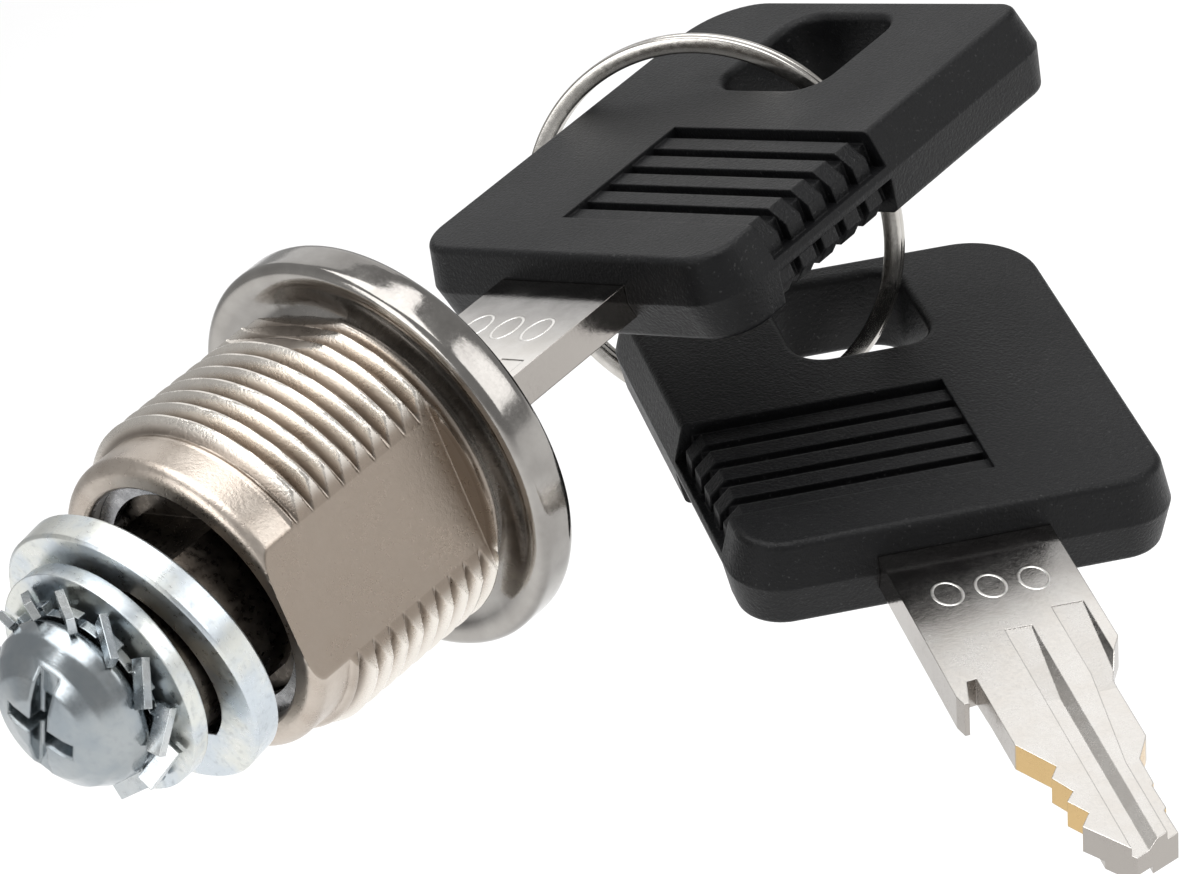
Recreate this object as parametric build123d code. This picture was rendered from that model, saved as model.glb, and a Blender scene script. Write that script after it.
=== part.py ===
from build123d import *
import math
import os

# Cam lock with two keys on a split ring, in millimetres.
# Origin: centre of the flange's rear seating face, on the barrel axis.
# +Y runs along the barrel to the cam screw, the key goes in from -Y with its blade flat (normal +Z),
# and +X is square to the barrel's main flats.

# ---- driving dimensions ----
FLANGE_R = 11.7
FLANGE_FRONT_Y = -2.66
RIM_LIP_R = 10.45
RIM_DISH = 0.3
ROOT_R = 8.7
CREST_R = 9.525
RIDGE_COUNT = 10
RIDGE_FIRST_Y = 0.62
RIDGE_PITCH = 1.17
MAIN_FLAT_X = 7.8
MAIN_FLAT_HALF_ANGLE = 30.0
MAIN_FLAT_START_Y = 0.9
PAD_Z = 8.72
PAD_HALF_ANGLE = 22.5
PAD_END_Y = 3.3
BARREL_END_Y = 14.2
BARREL_END_R = 7.9
BORE_R = 6.05
COUNTERBORE_R = 7.1
COUNTERBORE_Y = 10.8
CLIP_GROOVE_R = 7.42
CLIP_GROOVE_Y = (12.42, 13.1)
STOP_INNER_R = 6.35
STOP_END_Y = 12.2
STOP_CENTRE_ANGLE = 135.0
STOP_HALF_ANGLE = 15.0
PLUG_TRAVEL = 90.0
WAFER_GROOVE_R = 6.95
WAFER_GROOVE_HALF = 3.3
WAFER_GROOVE_START_Y = 3.4

PLUG_R = 6.0
PLUG_FRONT_Y = -1.4
PLUG_COLLAR_R = 6.9
PLUG_COLLAR_Y = (10.9, 12.2)
KEYWAY_HALF_X = 3.65
KEYWAY_HALF_Z = 1.1
KEYWAY_END_Y = 13.9
DRIVE_R = 5.3
DRIVE_FLAT_Z = 4.3
DRIVE_END_Y = 19.78
SCREW_HOLE_R = 2.52
SCREW_HOLE_Y = 14.7

WAFER_COUNT = 5
WAFER_FIRST_Y = 4.2
WAFER_PITCH = 1.4
WAFER_THICK = 0.9
WAFER_SLOT = 1.0
WAFER_HALF_Z = 3.0
WAFER_END_R = 5.95
WAFER_TRAVEL = 0.7
WINDOW_HALF_Z = 1.25
WINDOW_NEAR = 2.95
WINDOW_FAR = 3.6
EAR_Z = 4.55
EAR_X = (0.9, 1.8)
SPRING_Z = 3.85
SPRING_R = 0.5
SPRING_WIRE_R = 0.09
SPRING_START = -3.0

SPACER_R = 8.05
SPACER_THICK = 1.8
SPACER_CENTRE_Y = 17.56
SPACER_NORMAL = (0.009, 0.992, -0.13)
SPACER_HOLE_R = 5.75
SPACER_HOLE_FLAT = 4.75
WASHER_Y = (19.8, 20.8)
WASHER_R = 6.44
TOOTH_COUNT = 12
TOOTH_TIP_R = 5.75
TOOTH_ROOT_R = 4.8
TOOTH_RING_Y = (21.15, 21.7)
TOOTH_WIDTH = 2.55
TOOTH_THICK = 0.45
TOOTH_TWIST = -33.0
TOOTH_LIFT = 0.37
SCREW_R = 2.46
SCREW_SEAT_Y = 21.92
SCREW_RIM_R = 4.73
SCREW_TOP_Y = 25.3
RECESS_SPAN = 4.5
RECESS_WIDTH = 1.15
RECESS_ANGLE = 57.0
SLOT_SPAN = 7.7
SLOT_WIDTH = 1.2
SLOT_FLOOR_Y = 24.35

HEAD_HALF_X = 12.25
HEAD_NEAR_Y = -15.93
HEAD_FAR_Y = -44.45
HEAD_HALF_Z = 2.5
HEAD_DRAFT = 13.0
HOLE_CENTRE = (0.15, -38.25)
HOLE_SIZE = (7.8, 8.1)
HOLE_CORNER_R = 1.8
HEAD_EDGE_R = 0.45
RECESS_Y = (-29.84, -20.18)
RECESS_INNER_X = 3.0
RECESS_DEPTH = 0.75
RIB_COUNT = 5
RIB_WIDTH = 1.15
RIB_HEIGHT = 0.5
RIB_WEB_HALF = 0.35
RIB_SIDE_X = -11.1
RIB_SIDE_INSET = 0.55
BLADE_HALF_Z = 0.97
TANG_END_Y = -31.0
TANG_HALF_X = 3.6
GROOVE_DEPTH = 0.45
GROOVE_RAMP_END_Y = -1.0
GROOVE_WALL_RUN = 0.55

RING_CENTRE = (6.687, -32.788, -5.745)
RING_NORMAL = (-0.3992, 0.8982, 0.1841)
RING_R = 10.74
RING_WIRE = 1.04
RING_COIL = 0.5
KEY_2_ORIGIN = (-30.976, -10.513, -20.157)
KEY_2_X = (-0.52251, -0.80927, -0.26844)
KEY_2_Z = (0.29445, 0.12419, -0.94756)


def prism(sketch, y_low, y_high):
    """A flat X-Z outline standing between two stations along the barrel."""
    return extrude(Plane.XZ.offset(-y_high) * sketch, y_high - y_low, dir=(0, -1, 0))


def turned(points):
    """A solid of revolution about the barrel axis from (radius, y) points."""
    return revolve(make_face(Polyline(*points, close=True)), Axis.Y)


def box(x0, x1, y0, y1, z0, z1):
    """A box between two corners."""
    centre = ((x0 + x1) / 2, (y0 + y1) / 2, (z0 + z1) / 2)
    return Pos(*centre) * Box(x1 - x0, y1 - y0, z1 - z0)


def wedge(angle_low, angle_high, radius=30.0):
    """A pie outline in X-Z, angles turning about +Y from +X."""
    steps = 8
    points = [(0.0, 0.0)]
    for i in range(steps + 1):
        a = math.radians(angle_low + (angle_high - angle_low) * i / steps)
        points.append((radius * math.cos(a), -radius * math.sin(a)))
    return make_face(Polyline(*points, close=True))


def d_outline(radius, flat):
    """A circle cut by two flats facing +Z and -Z."""
    return Circle(radius) & Rectangle(4 * radius, 2 * flat)


def barrel_outline():
    """Radius and y points round the housing's wall, outside and bore."""
    points = [(BORE_R, FLANGE_FRONT_Y + 0.55), (BORE_R + 0.55, FLANGE_FRONT_Y)]
    points += [(FLANGE_R - 0.7, FLANGE_FRONT_Y), (FLANGE_R - 0.2, FLANGE_FRONT_Y + 0.2)]
    points += [(FLANGE_R, FLANGE_FRONT_Y + 0.7), (FLANGE_R, -0.3), (FLANGE_R - 0.25, 0.0)]
    points += [(RIM_LIP_R, 0.0), (RIM_LIP_R - 0.3, -RIM_DISH), (9.1, -RIM_DISH), (ROOT_R, -0.05)]
    for i in range(RIDGE_COUNT):
        y = RIDGE_FIRST_Y + i * RIDGE_PITCH
        points += [(ROOT_R, y - 0.48), (CREST_R, y - 0.09), (CREST_R, y + 0.09), (ROOT_R, y + 0.48)]
    points += [(ROOT_R, BARREL_END_Y - 0.8), (ROOT_R - 0.1, BARREL_END_Y - 0.35)]
    points += [(ROOT_R - 0.35, BARREL_END_Y - 0.1), (BARREL_END_R, BARREL_END_Y)]
    points += [(COUNTERBORE_R + 0.2, BARREL_END_Y), (COUNTERBORE_R, BARREL_END_Y - 0.2)]
    points += [(COUNTERBORE_R, CLIP_GROOVE_Y[1]), (CLIP_GROOVE_R, CLIP_GROOVE_Y[1])]
    points += [(CLIP_GROOVE_R, CLIP_GROOVE_Y[0]), (COUNTERBORE_R, CLIP_GROOVE_Y[0])]
    points += [(COUNTERBORE_R, COUNTERBORE_Y), (BORE_R, COUNTERBORE_Y)]
    return points


def make_housing():
    """Flange, ridged barrel, two main flats, two short pads, bore, wafer grooves and stop."""
    body = turned(barrel_outline())
    flat_high = box(MAIN_FLAT_X, 20, MAIN_FLAT_START_Y, 20, -20, 20)
    flat_low = box(-20, -MAIN_FLAT_X, MAIN_FLAT_START_Y, 20, -20, 20)
    body -= flat_high + flat_low
    spans = wedge(-MAIN_FLAT_HALF_ANGLE, MAIN_FLAT_HALF_ANGLE)
    spans += wedge(180 - MAIN_FLAT_HALF_ANGLE, 180 + MAIN_FLAT_HALF_ANGLE)
    thread_band = (Circle(20) - Circle(ROOT_R)) & spans
    body -= prism(thread_band, MAIN_FLAT_START_Y, BARREL_END_Y - 0.9)
    for side in (90.0, 270.0):
        span = wedge(side - PAD_HALF_ANGLE, side + PAD_HALF_ANGLE)
        outside = Rectangle(60, 60) - Rectangle(60, 2 * PAD_Z)
        body -= prism(span & outside, 0.0, PAD_END_Y)
    groove = Rectangle(2 * WAFER_GROOVE_R, 2 * WAFER_GROOVE_HALF)
    groove += Rectangle(2 * WAFER_GROOVE_HALF, 2 * WAFER_GROOVE_R)
    groove = groove & Circle(COUNTERBORE_R)
    body -= prism(groove, WAFER_GROOVE_START_Y, COUNTERBORE_Y + 0.01)
    stop = Circle(COUNTERBORE_R + 0.1) - Circle(STOP_INNER_R)
    low = STOP_CENTRE_ANGLE - STOP_HALF_ANGLE
    stop = stop & wedge(low, low + 2 * STOP_HALF_ANGLE)
    body += prism(stop, COUNTERBORE_Y - 0.05, STOP_END_Y)
    return body


def wafer_side(index):
    """+1 or -1: the way each wafer moves when the key leaves."""
    return 1 if index % 2 == 0 else -1


def wafer_y(index):
    """Station of each wafer's middle."""
    return WAFER_FIRST_Y + index * WAFER_PITCH


def ear_box(side, margin, travel, half_y, y):
    """The ear beside a wafer, or with a margin its pocket in the plug."""
    x0 = side * (EAR_X[0] - margin)
    x1 = side * (EAR_X[1] + margin + travel)
    z0 = side * (WAFER_HALF_Z - 0.2)
    z1 = side * (EAR_Z + margin)
    return box(min(x0, x1), max(x0, x1), y - half_y, y + half_y, min(z0, z1), max(z0, z1))


def make_plug():
    """Key plug: keyway, wafer slots, stop collar, double-D drive and screw hole."""
    body = prism(Circle(PLUG_R), PLUG_FRONT_Y, PLUG_COLLAR_Y[0])
    body += prism(Circle(PLUG_COLLAR_R), PLUG_COLLAR_Y[0], PLUG_COLLAR_Y[1])
    body += prism(d_outline(DRIVE_R, DRIVE_FLAT_Z), PLUG_COLLAR_Y[1], DRIVE_END_Y)
    low = STOP_CENTRE_ANGLE - STOP_HALF_ANGLE - PLUG_TRAVEL - 2
    high = STOP_CENTRE_ANGLE + STOP_HALF_ANGLE + 2
    gap = (Circle(PLUG_COLLAR_R + 1) - Circle(STOP_INNER_R - 0.12)) & wedge(low, high)
    body -= prism(gap, PLUG_COLLAR_Y[0] - 0.01, PLUG_COLLAR_Y[1] + 0.01)
    body -= box(-KEYWAY_HALF_X, KEYWAY_HALF_X, -3, KEYWAY_END_Y, -KEYWAY_HALF_Z, KEYWAY_HALF_Z)
    for i in range(WAFER_COUNT):
        y = wafer_y(i)
        side = wafer_side(i)
        half = WAFER_SLOT / 2
        body -= box(-7, 7, y - half, y + half, -WAFER_HALF_Z - 0.05, WAFER_HALF_Z + 0.05)
        body -= ear_box(side, 0.06, WAFER_TRAVEL, half, y)
        x0 = side * (SPRING_START - 0.05)
        x1 = side * EAR_X[0]
        pocket = Pos((x0 + x1) / 2, y, side * SPRING_Z) * Rot(0, 90, 0)
        body -= pocket * Cylinder(SPRING_R + 0.14, abs(x1 - x0))
    body -= prism(Circle(SCREW_HOLE_R), SCREW_HOLE_Y, DRIVE_END_Y + 1)
    return body


def make_wafer(index):
    """Flat wafer with a window for the key and an ear for its spring."""
    y = wafer_y(index)
    side = wafer_side(index)
    plate = Circle(WAFER_END_R) & Rectangle(20, 2 * WAFER_HALF_Z)
    window = Pos(side * (WINDOW_FAR - WINDOW_NEAR) / 2, 0)
    plate -= window * Rectangle(WINDOW_FAR + WINDOW_NEAR, 2 * WINDOW_HALF_Z)
    body = prism(plate, y - WAFER_THICK / 2, y + WAFER_THICK / 2)
    body += ear_box(side, 0.0, 0.0, WAFER_THICK / 2, y)
    return body


def make_wafer_spring(index):
    """Small coil spring between the plug and the wafer's ear."""
    y = wafer_y(index)
    side = wafer_side(index)
    length = EAR_X[0] - SPRING_START - 0.05
    height = length - 2 * SPRING_WIRE_R
    path = Helix(pitch=height / 7, height=height, radius=SPRING_R - SPRING_WIRE_R)
    section = Plane(origin=path @ 0, z_dir=path % 0) * Circle(SPRING_WIRE_R)
    coil = sweep(section, path=path)
    x0 = side * (SPRING_START + SPRING_WIRE_R)
    return Pos(x0, y, side * SPRING_Z) * Rot(0, 90 * side, 0) * coil


def make_retaining_clip():
    """Open snap ring that holds the plug's collar in the barrel."""
    ring = Circle(CLIP_GROOVE_R - 0.04) - Circle(6.2)
    ring -= wedge(-28, 28)
    for angle in (-34, 34):
        a = math.radians(angle)
        ring += Pos(6.35 * math.cos(a), -6.35 * math.sin(a)) * Circle(0.75)
        ring -= Pos(6.35 * math.cos(a), -6.35 * math.sin(a)) * Circle(0.32)
    return prism(ring, CLIP_GROOVE_Y[0] + 0.04, CLIP_GROOVE_Y[1] - 0.04)


def make_cam_spacer():
    """Thick loose disc with a double-D hole, tipped on the drive."""
    outline = Circle(SPACER_R) - d_outline(SPACER_HOLE_R, SPACER_HOLE_FLAT)
    disc = extrude(outline, SPACER_THICK / 2, both=True)
    disc = chamfer(disc.edges().group_by(SortBy.LENGTH)[-1], 0.15)
    where = Plane(origin=(0, SPACER_CENTRE_Y, 0), x_dir=(1, 0, 0), z_dir=SPACER_NORMAL)
    return where.location * disc


def make_flat_washer():
    """Plain washer against the end of the drive."""
    return prism(Circle(WASHER_R) - Circle(SCREW_R + 0.15), WASHER_Y[0], WASHER_Y[1])


def make_lock_washer():
    """External-tooth lock washer with twisted teeth standing out past the screw's rim."""
    body = prism(Circle(TOOTH_ROOT_R - 0.2) - Circle(SCREW_R + 0.1), *TOOTH_RING_Y)
    middle = (TOOTH_RING_Y[0] + TOOTH_RING_Y[1]) / 2
    reach = TOOTH_TIP_R - TOOTH_ROOT_R
    for i in range(TOOTH_COUNT):
        turn = Pos(0, middle, 0) * Rot(0, 360 * (i + 0.4) / TOOTH_COUNT, 0)
        neck = Pos(TOOTH_ROOT_R - 0.1, 0, 0) * Box(0.7, TOOTH_RING_Y[1] - TOOTH_RING_Y[0], 1.3)
        blade = Box(reach, TOOTH_THICK, TOOTH_WIDTH)
        blade = Pos(TOOTH_ROOT_R + reach / 2, TOOTH_LIFT, 0) * Rot(TOOTH_TWIST, 0, 0) * blade
        body += turn * (neck + blade)
    return body


def make_cam_screw():
    """Pan-head screw with a cross recess and a straight slot through one pair of its arms."""
    points = [(0, SCREW_HOLE_Y + 0.4), (SCREW_R - 0.4, SCREW_HOLE_Y + 0.4)]
    points += [(SCREW_R, SCREW_HOLE_Y + 0.8), (SCREW_R, SCREW_SEAT_Y)]
    points += [(SCREW_RIM_R - 0.25, SCREW_SEAT_Y), (SCREW_RIM_R, 22.39)]
    points += [(4.55, 23.3), (4.0, 24.2), (3.1, 24.85), (1.8, 25.2), (0, SCREW_TOP_Y)]
    body = turned(points)
    for angle in (RECESS_ANGLE, RECESS_ANGLE + 90):
        arm = extrude(Rectangle(RECESS_SPAN, RECESS_WIDTH), 1.9, taper=9)
        arm = Pos(0, SCREW_TOP_Y + 0.05, 0) * Rot(0, angle, 0) * Rot(90, 0, 0) * arm
        body -= arm
    slot = Pos(0, SLOT_FLOOR_Y + 1, 0) * Rot(0, RECESS_ANGLE, 0) * Box(SLOT_SPAN, 2, SLOT_WIDTH)
    return body - slot


def rounded_head_outline():
    """Key head outline at the parting plane, each corner with its own radius."""
    middle = (HEAD_NEAR_Y + HEAD_FAR_Y) / 2
    outline = Pos(0, middle) * Rectangle(2 * HEAD_HALF_X, HEAD_NEAR_Y - HEAD_FAR_Y)
    corners = [(HEAD_HALF_X, HEAD_FAR_Y, 4.5), (-HEAD_HALF_X, HEAD_FAR_Y, 2.2)]
    corners += [(-HEAD_HALF_X, HEAD_NEAR_Y, 3.0), (HEAD_HALF_X, HEAD_NEAR_Y, 3.0)]
    for x, y, radius in corners:
        outline = fillet(outline.vertices().sort_by_distance((x, y, 0))[0], radius)
    return outline


def make_groove_cutter(outline, start_y, wall_x):
    """What mills one groove into the -Z face: a ramped start and one slanted wall."""
    cutter = extrude(make_face(Polyline(*outline, close=True)), 1.5)
    shallow = 0.9 * GROOVE_DEPTH
    ramp = [(start_y - 1, shallow), (start_y, shallow), (GROOVE_RAMP_END_Y, 0)]
    ramp += [(GROOVE_RAMP_END_Y, -1), (start_y - 1, -1)]
    cutter -= extrude(Plane.YZ * make_face(Polyline(*ramp, close=True)), 8, both=True)
    wall = [(wall_x - GROOVE_WALL_RUN, 0), (wall_x, GROOVE_DEPTH), (wall_x + 2, GROOVE_DEPTH)]
    wall += [(wall_x + 2, -1), (wall_x - GROOVE_WALL_RUN, -1)]
    cutter -= extrude(Plane.XZ * make_face(Polyline(*wall, close=True)), 30, both=True)
    return Pos(0, 0, GROOVE_DEPTH - BLADE_HALF_Z) * mirror(cutter, Plane.XY)


def make_key_blade():
    """Double-sided blade with a hidden tang, milled grooves and cut edges."""
    right = [(TANG_HALF_X, TANG_END_Y), (TANG_HALF_X, -17.2), (4.75, -16.6), (4.75, -4.9), (4.22, -3.9)]
    right += [(3.4, -1.7), (3.4, 3.5), (2.45, 5.3), (2.42, 7.5), (2.28, 7.7), (2.32, 9.7)]
    tip = [(2.15, 9.9), (2.19, 11.9), (-0.4, 13.3)]
    left = [(-2.26, 10.5), (-1.6, 9.5), (-2.31, 8.25), (-1.76, 7.5), (-2.42, 6.1), (-1.87, 5.2)]
    left += [(-3.25, 2.75), (-3.3, -3.5), (-3.84, -3.4), (-4.3, -1.5), (-4.56, -1.5)]
    left += [(-4.75, -2.3), (-4.75, -16.6), (-TANG_HALF_X, -17.2), (-TANG_HALF_X, TANG_END_Y)]
    outline = make_face(Polyline(*right, *tip, *left, close=True))
    body = extrude(outline, BLADE_HALF_Z, both=True)
    middle = [(-0.58, -7.3), (0.9, -7.3), (0.9, 20), (-0.58, 20)]
    side = [(2.35, -8.6), (4.1, -8.6), (4.1, 20), (1.5, 20), (1.5, 6.0), (2.35, -2)]
    for points, start_y, wall_x in ((middle, -7.3, 0.9), (side, -8.6, 4.1)):
        cutter = make_groove_cutter(points, start_y, wall_x)
        body -= cutter
        body -= Rot(0, 180, 0) * cutter
    return body


def make_rib_recess(face):
    """What is cut from one face for the ribbed recess, open over the head's -X edge."""
    y0, y1 = RECESS_Y
    z0, z1 = sorted((face * (HEAD_HALF_Z - RECESS_DEPTH), face * 4))
    cut = box(-14, RECESS_INNER_X, y0, y1, z0, z1)
    z0, z1 = sorted((face * RIB_WEB_HALF, face * 4))
    cut += box(-14, RIB_SIDE_X, y0, y1, z0, z1)
    pitch = (y1 - y0 - 0.15) / RIB_COUNT
    z0, z1 = sorted((face * 0.2, face * (HEAD_HALF_Z - RECESS_DEPTH + RIB_HEIGHT)))
    for i in range(RIB_COUNT):
        y_low = y1 - 0.15 - i * pitch - RIB_WIDTH
        rib = box(-HEAD_HALF_X + RIB_SIDE_INSET, RECESS_INNER_X + 0.2, y_low, y_low + RIB_WIDTH, z0, z1)
        corner = rib.edges().filter_by(Axis.Y).sort_by_distance((-14, y_low, face * 4))[0]
        cut -= chamfer(corner, 0.9)
    return cut


def make_key_head():
    """Moulded head with draft both ways, a ring hole, ribs over one edge and the tang's pocket."""
    upper = extrude(rounded_head_outline(), HEAD_HALF_Z, taper=HEAD_DRAFT)
    hole = Pos(*HOLE_CENTRE) * RectangleRounded(*HOLE_SIZE, HOLE_CORNER_R)
    upper -= extrude(hole, 5)
    upper = fillet(upper.faces().sort_by(Axis.Z)[-1].edges(), HEAD_EDGE_R)
    body = upper + mirror(upper, Plane.XY)
    body -= make_rib_recess(1)
    body -= make_rib_recess(-1)
    return body - make_key_blade()


def make_split_ring():
    """Flat double coil ring, the two turns shown by a shallow groove between them."""
    half_r, half_h, groove = RING_WIRE / 2, RING_COIL, 0.1
    inner, outer = RING_R - half_r, RING_R + half_r
    points = [(inner + 0.15, -half_h), (outer - 0.15, -half_h), (outer, -half_h + 0.15)]
    points += [(outer, -0.08), (outer - groove, 0), (outer, 0.08)]
    points += [(outer, half_h - 0.15), (outer - 0.15, half_h), (inner + 0.15, half_h)]
    points += [(inner, half_h - 0.15), (inner, 0.08), (inner + groove, 0), (inner, -0.08)]
    points += [(inner, -half_h + 0.15)]
    ring = turned(points)
    where = Plane(origin=RING_CENTRE, x_dir=(1, 0, 0), z_dir=RING_NORMAL)
    return where.location * Rot(90, 0, 0) * ring


os.makedirs("parts", exist_ok=True)
key_2_place = Plane(origin=KEY_2_ORIGIN, x_dir=KEY_2_X, z_dir=KEY_2_Z).location
parts = {}
parts["housing"] = make_housing()
parts["plug"] = make_plug()
for number in range(WAFER_COUNT):
    parts["wafer_%d" % (number + 1)] = make_wafer(number)
    parts["wafer_spring_%d" % (number + 1)] = make_wafer_spring(number)
parts["retaining_clip"] = make_retaining_clip()
parts["cam_spacer"] = make_cam_spacer()
parts["flat_washer"] = make_flat_washer()
parts["lock_washer"] = make_lock_washer()
parts["cam_screw"] = make_cam_screw()
parts["key_1_blade"] = make_key_blade()
parts["key_1_head"] = make_key_head()
parts["key_2_blade"] = key_2_place * parts["key_1_blade"]
parts["key_2_head"] = key_2_place * parts["key_1_head"]
parts["split_ring"] = make_split_ring()
for name, shape in parts.items():
    export_step(shape, "parts/" + name + ".step")
    print(name, round(shape.volume, 2), len(shape.solids()), shape.is_valid)
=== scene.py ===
import bpy
import math
from mathutils import Matrix, Vector


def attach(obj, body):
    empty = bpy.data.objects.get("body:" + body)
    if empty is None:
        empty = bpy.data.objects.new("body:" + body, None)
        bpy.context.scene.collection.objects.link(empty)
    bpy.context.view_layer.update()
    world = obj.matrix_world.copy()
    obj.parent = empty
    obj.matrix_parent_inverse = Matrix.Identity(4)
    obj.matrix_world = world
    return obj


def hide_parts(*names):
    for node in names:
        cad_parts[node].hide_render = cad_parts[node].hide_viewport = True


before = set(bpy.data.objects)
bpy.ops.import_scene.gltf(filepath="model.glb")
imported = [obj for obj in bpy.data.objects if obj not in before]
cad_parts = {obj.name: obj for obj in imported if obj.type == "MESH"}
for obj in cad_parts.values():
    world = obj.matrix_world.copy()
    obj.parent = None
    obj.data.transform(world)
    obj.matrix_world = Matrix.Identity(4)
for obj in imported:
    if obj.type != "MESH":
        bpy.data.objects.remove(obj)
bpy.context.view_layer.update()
scene = bpy.context.scene
MM = 0.001
SENSOR_MM = 36.0
FRAME_WIDTH_PX = 1186.0
FOCAL_LENGTH_PX = 6000.0

# ---------------------------------------------------------------- camera
cam_data = bpy.data.cameras.new("camera")
cam_data.sensor_width = SENSOR_MM
cam_data.lens = SENSOR_MM * FOCAL_LENGTH_PX / FRAME_WIDTH_PX
cam_data.clip_start = 0.01
cam_data.clip_end = 20.0
cam = bpy.data.objects.new("camera", cam_data)
scene.collection.objects.link(cam)
right = Vector((-0.68613, -0.63424, -0.35632)).normalized()
back = Vector((-0.72544, 0.55989, 0.40032))
back = (back - right * back.dot(right)).normalized()
up = back.cross(right)
turn = Matrix((right, up, back)).transposed().to_4x4()
cam.matrix_world = Matrix.Translation((-0.23386, 0.16652, 0.12161)) @ turn
scene.camera = cam


# ---------------------------------------------------------------- node helpers
SOCKETS = {"color": "Base Color", "metal": "Metallic", "rough": "Roughness", "normal": "Normal"}
SOCKETS["spec"] = "Specular IOR Level"


class Nodes:
    """Short names for building one material's node tree."""

    def __init__(self, name):
        self.material = bpy.data.materials.new(name)
        self.material.use_nodes = True
        self.tree = self.material.node_tree
        self.shader = self.tree.nodes["Principled BSDF"]
        self.coord = self.add("ShaderNodeTexCoord").outputs["Object"]

    def add(self, kind, **fields):
        node = self.tree.nodes.new(kind)
        for key, value in fields.items():
            setattr(node, key, value)
        return node

    def link(self, out, into):
        self.tree.links.new(out, into)

    def feed(self, value, socket):
        """A number, a vector or another node's output into a socket."""
        if isinstance(value, bpy.types.NodeSocket):
            self.link(value, socket)
        else:
            socket.default_value = value

    def math(self, op, a, b=0.0, clamp=False):
        node = self.add("ShaderNodeMath", operation=op, use_clamp=clamp)
        self.feed(a, node.inputs[0])
        self.feed(b, node.inputs[1])
        return node.outputs[0]

    def dot(self, vector, axis):
        node = self.add("ShaderNodeVectorMath", operation="DOT_PRODUCT")
        self.link(vector, node.inputs[0])
        node.inputs[1].default_value = axis
        return node.outputs["Value"]

    def noise(self, per_m, detail=3.0, stretch=(1, 1, 1), rough=0.55):
        scaled = self.add("ShaderNodeMapping")
        scaled.inputs["Scale"].default_value = stretch
        self.link(self.coord, scaled.inputs["Vector"])
        node = self.add("ShaderNodeTexNoise")
        node.inputs["Scale"].default_value = per_m
        node.inputs["Detail"].default_value = detail
        node.inputs["Roughness"].default_value = rough
        self.link(scaled.outputs[0], node.inputs["Vector"])
        return node.outputs["Fac"]

    def fit(self, value, a, b, c, d, smooth=False):
        kind = "SMOOTHSTEP" if smooth else "LINEAR"
        node = self.add("ShaderNodeMapRange", interpolation_type=kind)
        self.feed(value, node.inputs["Value"])
        for key, v in zip(("From Min", "From Max", "To Min", "To Max"), (a, b, c, d)):
            node.inputs[key].default_value = v
        return node.outputs["Result"]

    def mix(self, factor, a, b):
        node = self.add("ShaderNodeMix", data_type="RGBA")
        self.feed(factor, node.inputs["Factor"])
        for colour, key in ((a, 6), (b, 7)):
            if isinstance(colour, bpy.types.NodeSocket):
                self.link(colour, node.inputs[key])
            else:
                node.inputs[key].default_value = (*colour, 1.0)
        return node.outputs[2]

    def bump(self, height, strength, distance_mm, normal=None):
        node = self.add("ShaderNodeBump")
        node.inputs["Strength"].default_value = strength
        node.inputs["Distance"].default_value = distance_mm * MM
        self.link(height, node.inputs["Height"])
        if normal is not None:
            self.link(normal, node.inputs["Normal"])
        return node.outputs["Normal"]

    def bevel(self, radius_mm):
        node = self.add("ShaderNodeBevel", samples=6)
        node.inputs["Radius"].default_value = radius_mm * MM
        return node.outputs["Normal"]

    def set(self, **values):
        for key, value in values.items():
            socket = self.shader.inputs[SOCKETS[key]]
            if isinstance(value, tuple):
                value = (*value, 1.0)
            self.feed(value, socket)
        return self.material


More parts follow.
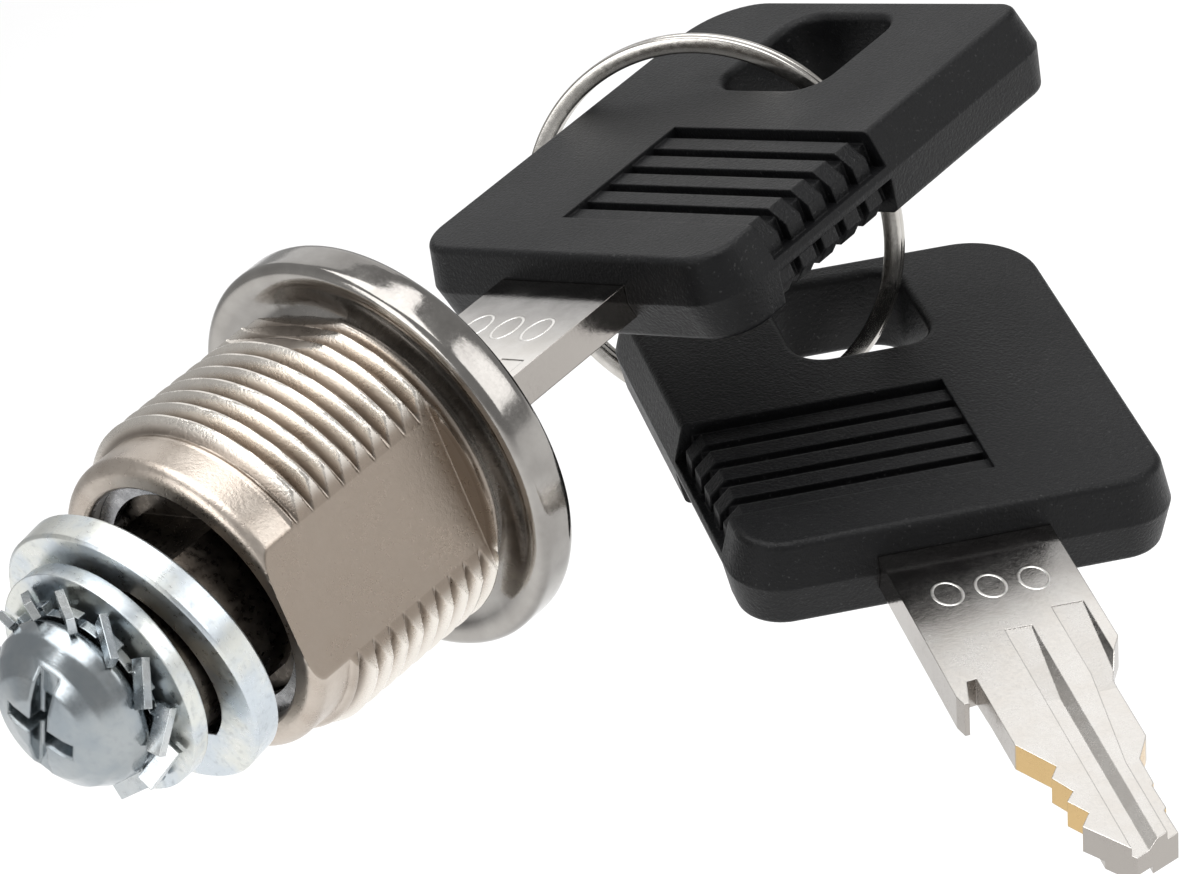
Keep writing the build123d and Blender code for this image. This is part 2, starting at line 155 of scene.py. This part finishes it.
# ---------------------------------------------------------------- materials
def nickel_casting():
    """Satin warm nickel: smooth on the flange, grainy on the barrel; painted shade darkens the bore,
    the thread roots, the flats and the flange, and a painted highlight lightens the thread crests.
    """
    n = Nodes("housing_nickel")
    split = n.add("ShaderNodeSeparateXYZ")
    n.link(n.coord, split.inputs[0])
    x, y, z = split.outputs
    square = n.math("ADD", n.math("MULTIPLY", x, x), n.math("MULTIPLY", z, z))
    radius = n.math("SQRT", square)
    barrel = n.fit(y, -0.2 * MM, 0.6 * MM, 0.0, 1.0, smooth=True)
    crest = n.fit(radius, 8.9 * MM, 9.5 * MM, 0.0, 1.0, smooth=True)
    # painted shade: marks the bore surfaces inside the barrel for a near-black colour
    inside = n.math("MULTIPLY", n.fit(radius, 7.0 * MM, 7.25 * MM, 1.0, 0.0), barrel)
    cloud = n.noise(420, 4)
    grain = n.noise(5200, 3)
    fine = n.noise(14000, 2)
    # painted shade in the thread roots: the band between root and crest turns dark brown
    above_root = n.fit(radius, 8.68 * MM, 8.72 * MM, 0.0, 1.0)
    painted_root_shade = n.math("MULTIPLY", above_root, n.fit(radius, 8.8 * MM, 9.15 * MM, 1.0, 0.0))
    painted_root_shade = n.math("MULTIPLY", painted_root_shade, n.fit(y, 11.3 * MM, 11.6 * MM, 1.0, 0.0))
    warm = n.mix(n.fit(cloud, 0.35, 0.65, 0.0, 1.0), (0.46, 0.4, 0.345), (0.57, 0.51, 0.45))
    warm = n.mix(n.math("MULTIPLY", painted_root_shade, 0.8), warm, (0.17, 0.14, 0.115))
    # painted shade on the two flats: their colour is darkened towards brown-grey
    painted_flat_shade = n.fit(n.math("ABSOLUTE", x), 7.72 * MM, 7.78 * MM, 0.0, 1.0)
    warm = n.mix(n.math("MULTIPLY", painted_flat_shade, 0.85), warm, (0.27, 0.225, 0.185))
    # painted highlight: the thread crests are lightened towards pale nickel
    warm = n.mix(n.math("MULTIPLY", crest, 0.85), warm, (0.84, 0.8, 0.74))
    # painted shade: the flange gets a darker nickel than the barrel of the same casting
    flange = n.mix(n.fit(cloud, 0.35, 0.65, 0.0, 1.0), (0.27, 0.257, 0.243), (0.35, 0.336, 0.318))
    colour = n.mix(barrel, flange, warm)
    # painted shade in the bore: mixed to near black
    colour = n.mix(inside, colour, (0.035, 0.028, 0.024))
    rough = n.fit(n.math("ADD", grain, cloud), 0.7, 1.3, 0.24, 0.4)
    rough = n.math("SUBTRACT", rough, n.math("MULTIPLY", crest, 0.08))
    rough = n.math("SUBTRACT", rough, n.math("MULTIPLY", n.math("SUBTRACT", 1.0, barrel), 0.1))
    amount = n.math("ADD", n.math("MULTIPLY", barrel, 0.8), 0.12)
    height = n.math("MULTIPLY", n.math("ADD", grain, n.math("MULTIPLY", fine, 0.45)), amount)
    return n.set(color=colour, metal=1.0, rough=rough, normal=n.bump(height, 0.5, 0.035))


def zinc(name, blue, yellow, low, high, edge=0.12):
    """Bright zinc plate with a faint two-tone bloom and fine handling marks."""
    n = Nodes(name)
    bloom = n.noise(330, 4)
    mottle = n.noise(2300, 4)
    scratch = n.noise(1500, 3, (1.0, 9.0, 1.0))
    colour = n.mix(n.fit(bloom, 0.38, 0.64, 0.0, 1.0, smooth=True), blue, yellow)
    colour = n.mix(n.fit(mottle, 0.55, 0.75, 0.0, 0.35), colour, (0.26, 0.28, 0.3))
    rough = n.fit(n.math("ADD", mottle, n.math("MULTIPLY", scratch, 0.6)), 0.55, 1.05, low, high)
    height = n.math("ADD", mottle, n.math("MULTIPLY", scratch, 0.5))
    normal = n.bump(height, 0.28, 0.02, n.bevel(edge))
    return n.set(color=colour, metal=1.0, rough=rough, normal=normal)


def dark_metal():
    """Dark brown-black metal for the core of the lock."""
    n = Nodes("plug_dark")
    cloud = n.noise(600, 4)
    colour = n.mix(n.fit(cloud, 0.35, 0.65, 0.0, 1.0), (0.05, 0.042, 0.036), (0.14, 0.12, 0.1))
    rough = n.fit(n.noise(3000, 3), 0.3, 0.7, 0.22, 0.42)
    normal = n.bump(n.noise(4500, 3), 0.3, 0.02, n.bevel(0.1))
    return n.set(color=colour, metal=1.0, rough=rough, normal=normal)


def key_metal(name, origin, along, across, face):
    """Nickel-plated key blank: glossier near the head, with a painted reflection of the dark head
    darkening the blade there and painted shade greying the side walls; bare brass on the cuts.
    """
    n = Nodes(name)
    shifted = n.add("ShaderNodeVectorMath", operation="SUBTRACT")
    n.link(n.coord, shifted.inputs[0])
    shifted.inputs[1].default_value = origin
    place = shifted.outputs["Vector"]
    y = n.dot(place, along)
    x = n.dot(place, across)
    normal = n.add("ShaderNodeNewGeometry").outputs["Normal"]
    wall = n.fit(n.math("ABSOLUTE", n.dot(normal, face)), 0.25, 0.45, 1.0, 0.0)
    near = n.fit(n.math("ABSOLUTE", x), 3.24 * MM, 3.28 * MM, 1.0, 0.0)
    middle = n.fit(n.math("ABSOLUTE", x), 0.95 * MM, 1.1 * MM, 0.0, 1.0)
    cuts = n.math("MULTIPLY", n.math("MULTIPLY", wall, near), n.fit(y, 2.7 * MM, 2.85 * MM, 0.0, 1.0))
    cuts = n.math("MULTIPLY", cuts, middle)
    cuts = n.math("MULTIPLY", cuts, n.fit(y, 10.4 * MM, 10.55 * MM, 1.0, 0.0))
    cloud = n.noise(500, 4)
    grain = n.noise(4200, 4)
    speck = n.noise(9000, 2)
    shade = n.fit(y, -15.0 * MM, -6.5 * MM, 0.0, 1.0, smooth=True)
    bright = n.mix(n.fit(cloud, 0.35, 0.65, 0.0, 1.0), (0.86, 0.82, 0.77), (0.93, 0.9, 0.86))
    # painted reflection of the dark head: the blade turns dark grey towards the head
    painted_head_reflection = n.mix(n.fit(cloud, 0.35, 0.65, 0.0, 1.0), (0.2, 0.192, 0.185), (0.3, 0.29, 0.28))
    colour = n.mix(shade, painted_head_reflection, bright)
    # painted shade: the blade's side walls are greyed
    colour = n.mix(wall, colour, (0.38, 0.355, 0.33))
    colour = n.mix(cuts, colour, (0.6, 0.42, 0.2))
    rough = n.fit(n.math("ADD", grain, cloud), 0.7, 1.3, 0.05, 0.16)
    rough = n.math("ADD", rough, n.math("MULTIPLY", shade, 0.14))
    height = n.math("ADD", grain, n.math("MULTIPLY", speck, 0.6))
    normal = n.bump(height, 0.16, 0.02, n.bevel(0.08))
    return n.set(color=colour, metal=1.0, rough=rough, normal=normal)


def moulded_black():
    """Charcoal moulded plastic with a fine spark-eroded grain and light dust."""
    n = Nodes("key_plastic")
    grain = n.noise(5200, 3)
    fine = n.noise(11000, 2)
    cloud = n.noise(160, 3)
    dust = n.fit(n.noise(5600, 2, rough=0.5), 0.66, 0.72, 0.0, 0.5)
    base = n.fit(cloud, 0.35, 0.65, 0.0, 1.0)
    colour = n.mix(base, (0.0028, 0.0029, 0.0034), (0.0046, 0.0047, 0.0053))
    colour = n.mix(dust, colour, (0.06, 0.06, 0.06))
    rough = n.fit(n.math("ADD", grain, cloud), 0.7, 1.3, 0.36, 0.5)
    height = n.math("ADD", grain, n.math("MULTIPLY", fine, 0.5))
    normal = n.bump(height, 0.9, 0.05, n.bevel(0.16))
    return n.set(color=colour, metal=0.0, rough=rough, spec=0.24, normal=normal)


def ring_metal():
    """Bright drawn wire."""
    n = Nodes("ring_nickel")
    cloud = n.noise(700, 3)
    colour = n.mix(n.fit(cloud, 0.3, 0.7, 0.0, 1.0), (0.46, 0.44, 0.405), (0.58, 0.56, 0.53))
    rough = n.fit(n.noise(3200, 3), 0.3, 0.7, 0.13, 0.24)
    return n.set(color=colour, metal=1.0, rough=rough, normal=n.bump(n.noise(3800, 3), 0.16, 0.015))


def brass():
    """Stamped brass wafer."""
    n = Nodes("brass_wafer")
    cloud = n.noise(900, 4)
    colour = n.mix(n.fit(cloud, 0.35, 0.65, 0.0, 1.0), (0.7, 0.48, 0.2), (0.84, 0.63, 0.32))
    rough = n.fit(n.noise(4000, 3), 0.3, 0.7, 0.22, 0.38)
    normal = n.bump(n.noise(5000, 3), 0.2, 0.02, n.bevel(0.06))
    return n.set(color=colour, metal=1.0, rough=rough, normal=normal)


def spring_steel():
    """Drawn spring wire and the snap ring."""
    n = Nodes("spring_steel")
    cloud = n.noise(1200, 4)
    colour = n.mix(n.fit(cloud, 0.35, 0.65, 0.0, 1.0), (0.3, 0.3, 0.31), (0.46, 0.46, 0.47))
    rough = n.fit(n.noise(5000, 3), 0.3, 0.7, 0.22, 0.36)
    return n.set(color=colour, metal=1.0, rough=rough)


def paper():
    """Matt pale floor with the slightest unevenness."""
    n = Nodes("studio_floor")
    cloud = n.fit(n.noise(3, 2), 0.3, 0.7, 0.0, 1.0)
    colour = n.mix(cloud, (0.93, 0.93, 0.93), (0.95, 0.95, 0.95))
    return n.set(color=colour, metal=0.0, rough=0.9, spec=0.1)


KEY_2_X = Vector((-0.52251, -0.80927, -0.26844)).normalized()
KEY_2_Z = Vector((0.29445, 0.12419, -0.94756)).normalized()
KEY_2_Y = KEY_2_Z.cross(KEY_2_X)
KEY_2_ORIGIN = Vector((-30.976, -10.513, -20.157)) * MM
HOUSING = nickel_casting()
PLUG = dark_metal()
ZINC = zinc("zinc_plate", (0.58, 0.63, 0.67), (0.7, 0.71, 0.67), 0.24, 0.4)
SCREW = zinc("zinc_screw", (0.3, 0.335, 0.36), (0.37, 0.395, 0.405), 0.15, 0.27, edge=0.3)
TEETH = zinc("zinc_teeth", (0.46, 0.5, 0.53), (0.58, 0.6, 0.6), 0.18, 0.3, edge=0.08)
PLASTIC = moulded_black()
RING = ring_metal()
WAFER = brass()
SPRING = spring_steel()
KEY_1 = key_metal("key_1_nickel", (0, 0, 0), (0, 1, 0), (1, 0, 0), (0, 0, 1))
KEY_2 = key_metal("key_2_nickel", KEY_2_ORIGIN, KEY_2_Y, KEY_2_X, KEY_2_Z)
LOOKS = {"plug": PLUG, "retaining_clip": SPRING, "cam_spacer": ZINC, "flat_washer": ZINC}
LOOKS.update({"lock_washer": TEETH, "cam_screw": SCREW, "key_1_blade": KEY_1, "key_2_blade": KEY_2})
LOOKS.update({"key_1_head": PLASTIC, "key_2_head": PLASTIC, "housing": HOUSING, "split_ring": RING})
for name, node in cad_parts.items():
    look = LOOKS.get(name, SPRING if name.startswith("wafer_spring") else WAFER)
    node.data.materials.clear()
    node.data.materials.append(look)


# ---------------------------------------------------------------- mesh helpers
def mesh_object(name, points, faces, look, smooth=True):
    """A mesh piece from points in millimetres."""
    mesh = bpy.data.meshes.new(name)
    mesh.from_pydata([Vector(p) * MM for p in points], [], faces)
    mesh.validate()
    mesh.update()
    mesh.shade_smooth() if smooth else mesh.shade_flat()
    mesh.materials.append(look)
    piece = bpy.data.objects.new(name, mesh)
    scene.collection.objects.link(piece)
    return piece


def grid_faces(rows, columns, close_rows, close_columns):
    """Quads over a grid of points stored row by row."""
    faces = []
    for i in range(rows if close_rows else rows - 1):
        for j in range(columns if close_columns else columns - 1):
            a, b = i * columns, ((i + 1) % rows) * columns
            k = (j + 1) % columns
            faces.append((a + j, a + k, b + k, b + j))
    return faces


def smoothstep(value, low, high):
    t = min(1.0, max(0.0, (value - low) / (high - low)))
    return t * t * (3 - 2 * t)


# ---------------------------------------------------------------- barrel with a real thread
ROOT_R, CREST_R, PITCH = 8.7, 9.525, 1.17
FIRST_Y, LAST_Y = 0.35, 11.45
FLAT_X, PAD_Z, PAD_END_Y = 7.8, 8.72, 3.35
NECK_Y, END_Y, END_ROUND = 13.4, 14.2, 0.8
BORE_R, STOP_R, COUNTERBORE_R, CLIP_GROOVE_R = 6.05, 6.35, 7.1, 7.42
WAFER_GROOVE_R, WAFER_GROOVE_HALF_DEG, WAFER_GROOVE_START_Y = 6.95, 30.5, 3.4
FLANGE_R, FLANGE_FRONT_Y = 11.7, -2.66
ROW_STEP, COLUMNS = 0.062, 432


def barrel_radius(y, angle):
    """Outer radius of the barrel at a station: helical thread, main flats, short pads, neck."""
    phase = ((y - 0.6) / PITCH - angle / (2 * math.pi)) % 1.0
    ridge = abs(2 * phase - 1)
    ridge = min(1.0, max(0.0, (ridge - 0.1) / 0.78))
    ridge = ridge * 0.75 + 0.25 * ridge * ridge * (3 - 2 * ridge)
    height = (CREST_R - ROOT_R) * ridge
    height *= smoothstep(y, FIRST_Y - 0.35, FIRST_Y + 0.25)
    height *= 1 - smoothstep(y, LAST_Y - 0.35, LAST_Y + 0.25)
    side = math.degrees(math.acos(min(1.0, abs(math.cos(angle)))))
    radius = ROOT_R + height
    if y > NECK_Y:
        drop = min(1.0, (y - NECK_Y) / END_ROUND)
        radius = min(radius, ROOT_R - END_ROUND * (1 - math.sqrt(1 - drop * drop)))
    if side < 40:
        into = smoothstep(y, 0.75, 1.05)
        radius = min(radius, FLAT_X / math.cos(math.radians(side)) + 3 * (1 - into))
    if side > 67.5 and y < PAD_END_Y:
        radius = min(radius, PAD_Z / math.sin(math.radians(side)))
    return radius


def bore_radius(y, angle):
    """Inner radius: counterbore, stop, snap ring groove, wafer grooves and bore."""
    degrees = math.degrees(angle) % 360
    if y > 12.2:
        return CLIP_GROOVE_R if 12.42 < y < 13.1 else COUNTERBORE_R + max(0.0, y - 13.95) * 0.8
    if y > 10.8:
        return STOP_R if abs(degrees - 135) < 15 else COUNTERBORE_R
    if y > WAFER_GROOVE_START_Y:
        quarter = abs((degrees + 45) % 90 - 45)
        if quarter < WAFER_GROOVE_HALF_DEG:
            return WAFER_GROOVE_R
    return BORE_R


def make_barrel():
    """One closed lathe grid from the bore's mouth round the flange and barrel and back inside."""
    rows = [(BORE_R, -2.0), (6.12, -2.35), (6.3, -2.56), (6.6, FLANGE_FRONT_Y)]
    rows += [(8.0, FLANGE_FRONT_Y), (9.6, FLANGE_FRONT_Y), (10.9, FLANGE_FRONT_Y)]
    for i in range(1, 8):
        a = math.radians(90 * i / 7)
        rows.append((10.95 + 0.75 * math.sin(a), -1.91 - 0.75 * math.cos(a)))
    rows += [(FLANGE_R, -1.5), (FLANGE_R, -1.0), (FLANGE_R, -0.65)]
    for i in range(1, 8):
        a = math.radians(90 * i / 7)
        rows.append((11.15 + 0.55 * math.cos(a), -0.55 + 0.55 * math.sin(a)))
    rows += [(10.9, -0.01), (10.6, -0.06), (10.3, -0.16), (10.0, -0.26)]
    rows += [(9.6, -0.32), (9.2, -0.3), (8.95, -0.2)]
    y = -0.08
    while y < END_Y:
        rows.append((barrel_radius, y))
        y += ROW_STEP
    rows += [(barrel_radius, END_Y), (7.7, END_Y), (7.35, END_Y)]
    inner = [14.12, 13.9, 13.5, 13.11, 13.09, 12.43, 12.41, 12.21, 12.19, 11.5, 10.81, 10.79]
    inner += [8.0, 5.5, 3.41, 3.39, 0.5]
    rows += [(bore_radius, y) for y in inner]
    points = []
    for radius, y in rows:
        for j in range(COLUMNS):
            a = 2 * math.pi * j / COLUMNS
            r = radius(y, a) if callable(radius) else radius
            points.append((r * math.cos(a), y, -r * math.sin(a)))
    faces = grid_faces(len(rows), COLUMNS, True, True)
    return mesh_object("barrel_shell", points, faces, HOUSING)


barrel = make_barrel()
edges = barrel.modifiers.new("edges", "EDGE_SPLIT")
edges.split_angle = math.radians(32)
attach(barrel, "housing")
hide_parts("housing")

# ---------------------------------------------------------------- double coil split ring
RING_CENTRE = Vector((6.687, -32.788, -5.745))
RING_NORMAL = Vector((-0.3992, 0.8982, 0.1841)).normalized()
RING_R = 10.74
RING_HALF_W, RING_HALF_H, RING_CORNER = 0.5, 0.235, 0.16
RING_START_DEG, RING_TURN_DEG, RING_STEPS = 205, 714, 420


def make_split_ring():
    """Two flat turns of rounded wire side by side, stepping over once, with two free ends."""
    first = RING_NORMAL.cross(Vector((0, 0, 1))).normalized()
    second = RING_NORMAL.cross(first)
    section = []
    across, tall = RING_HALF_W - RING_CORNER, RING_HALF_H - RING_CORNER
    for k, (sx, sy) in enumerate(((1, 1), (-1, 1), (-1, -1), (1, -1))):
        for m in range(4):
            a = math.radians(90 * k + 30 * m)
            w = sx * across + RING_CORNER * math.cos(a)
            section.append((w, sy * tall + RING_CORNER * math.sin(a)))
    start = math.radians(RING_START_DEG)
    end = math.radians(RING_START_DEG + RING_TURN_DEG)
    points = []
    for i in range(RING_STEPS + 1):
        a = start + (end - start) * i / RING_STEPS
        over = smoothstep(a, math.radians(RING_START_DEG + 345), math.radians(RING_START_DEG + 372))
        offset = 0.25 - 0.5 * over
        taper = min(1.0, 0.55 + min(i, RING_STEPS - i) * 0.12)
        radial = first * math.cos(a) + second * math.sin(a)
        for w, h in section:
            place = RING_CENTRE + radial * (RING_R + w * taper) + RING_NORMAL * (offset + h)
            points.append(place)
    columns = len(section)
    faces = grid_faces(RING_STEPS + 1, columns, False, True)
    faces.append(tuple(range(columns)))
    faces.append(tuple(RING_STEPS * columns + j for j in reversed(range(columns))))
    return mesh_object("split_ring_coil", points, faces, RING)


coil = make_split_ring()
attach(coil, "ring")
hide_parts("split_ring")


# ---------------------------------------------------------------- stamped digits on the blades
CODE_SPACING, CODE_Y, CODE_HALF_W, CODE_HALF_H = 2.35, -11.5, 0.78, 1.08
BLADE_HALF_Z = 0.97


def stamp(name, origin, across, along, face, side, body):
    """A generic code of three noughts, thin raised burrs round the stamped strokes."""
    points, faces = [], []
    for centre in (-CODE_SPACING, 0.0, CODE_SPACING):
        ring = 40
        base = len(points)
        for i in range(ring):
            a = 2 * math.pi * i / ring
            dx, dy = CODE_HALF_W * math.cos(a), CODE_HALF_H * math.sin(a)
            for w, h in ((-0.085, 0.0), (-0.04, 0.022), (0.04, 0.022), (0.085, 0.0)):
                u = Vector((math.cos(a), math.sin(a)))
                x, y = centre + dx + w * u.x, CODE_Y + dy + w * u.y
                lift = face * (side * (BLADE_HALF_Z + h))
                points.append(origin / MM + across * x + along * y + lift)
        for i in range(ring):
            for k in range(3):
                a, b = base + i * 4 + k, base + ((i + 1) % ring) * 4 + k
                faces.append((a, a + 1, b + 1, b))
    piece = mesh_object(name, points, faces, STAMP)
    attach(piece, body)
    return piece


def stamp_metal():
    """Bright burr round a stamped stroke."""
    n = Nodes("stamp_burr")
    cloud = n.fit(n.noise(2500, 3), 0.3, 0.7, 0.0, 1.0)
    colour = n.mix(cloud, (0.82, 0.8, 0.76), (0.95, 0.93, 0.9))
    return n.set(color=colour, metal=1.0, rough=n.fit(n.noise(3000, 2), 0.3, 0.7, 0.25, 0.4))


STAMP = stamp_metal()
X, Y, Z = Vector((1, 0, 0)), Vector((0, 1, 0)), Vector((0, 0, 1))
stamp("key_1_code", Vector((0, 0, 0)), X, Y, Z, 1, "key_1")
stamp("key_2_code", KEY_2_ORIGIN, KEY_2_X, KEY_2_Y, KEY_2_Z, -1, "key_2")

# ---------------------------------------------------------------- studio
FLOOR_Z = -0.09
bpy.ops.mesh.primitive_plane_add(size=8, location=(0, 0, FLOOR_Z))
floor = bpy.context.object
floor.name = "floor"
floor.data.materials.append(paper())


def softbox(name, place, aim, size, power):
    data = bpy.data.lights.new(name, "AREA")
    data.shape = "RECTANGLE"
    data.size, data.size_y = size
    data.energy = power
    light = bpy.data.objects.new(name, data)
    scene.collection.objects.link(light)
    light.location = place
    light.rotation_euler = (Vector(place) - Vector(aim)).to_track_quat("Z", "Y").to_euler()


aim = (0, -0.01, 0)
softbox("top", (-0.05, -0.05, 0.6), aim, (0.6, 0.6), 3.6)
softbox("left", (0.1, 0.6, 0.3), aim, (0.35, 0.45), 1.5)
softbox("right", (-0.55, -0.3, 0.25), aim, (0.3, 0.4), 0.9)
softbox("rear", (0.52, -0.58, 0.45), aim, (0.7, 0.6), 0.78)
world = bpy.data.worlds.new("world")
scene.world = world
world.use_nodes = True
sky = world.node_tree.nodes["Background"]
sky.inputs["Color"].default_value = (1.0, 1.0, 1.0, 1)
sky.inputs["Strength"].default_value = 0.45
scene.view_settings.view_transform = "Standard"
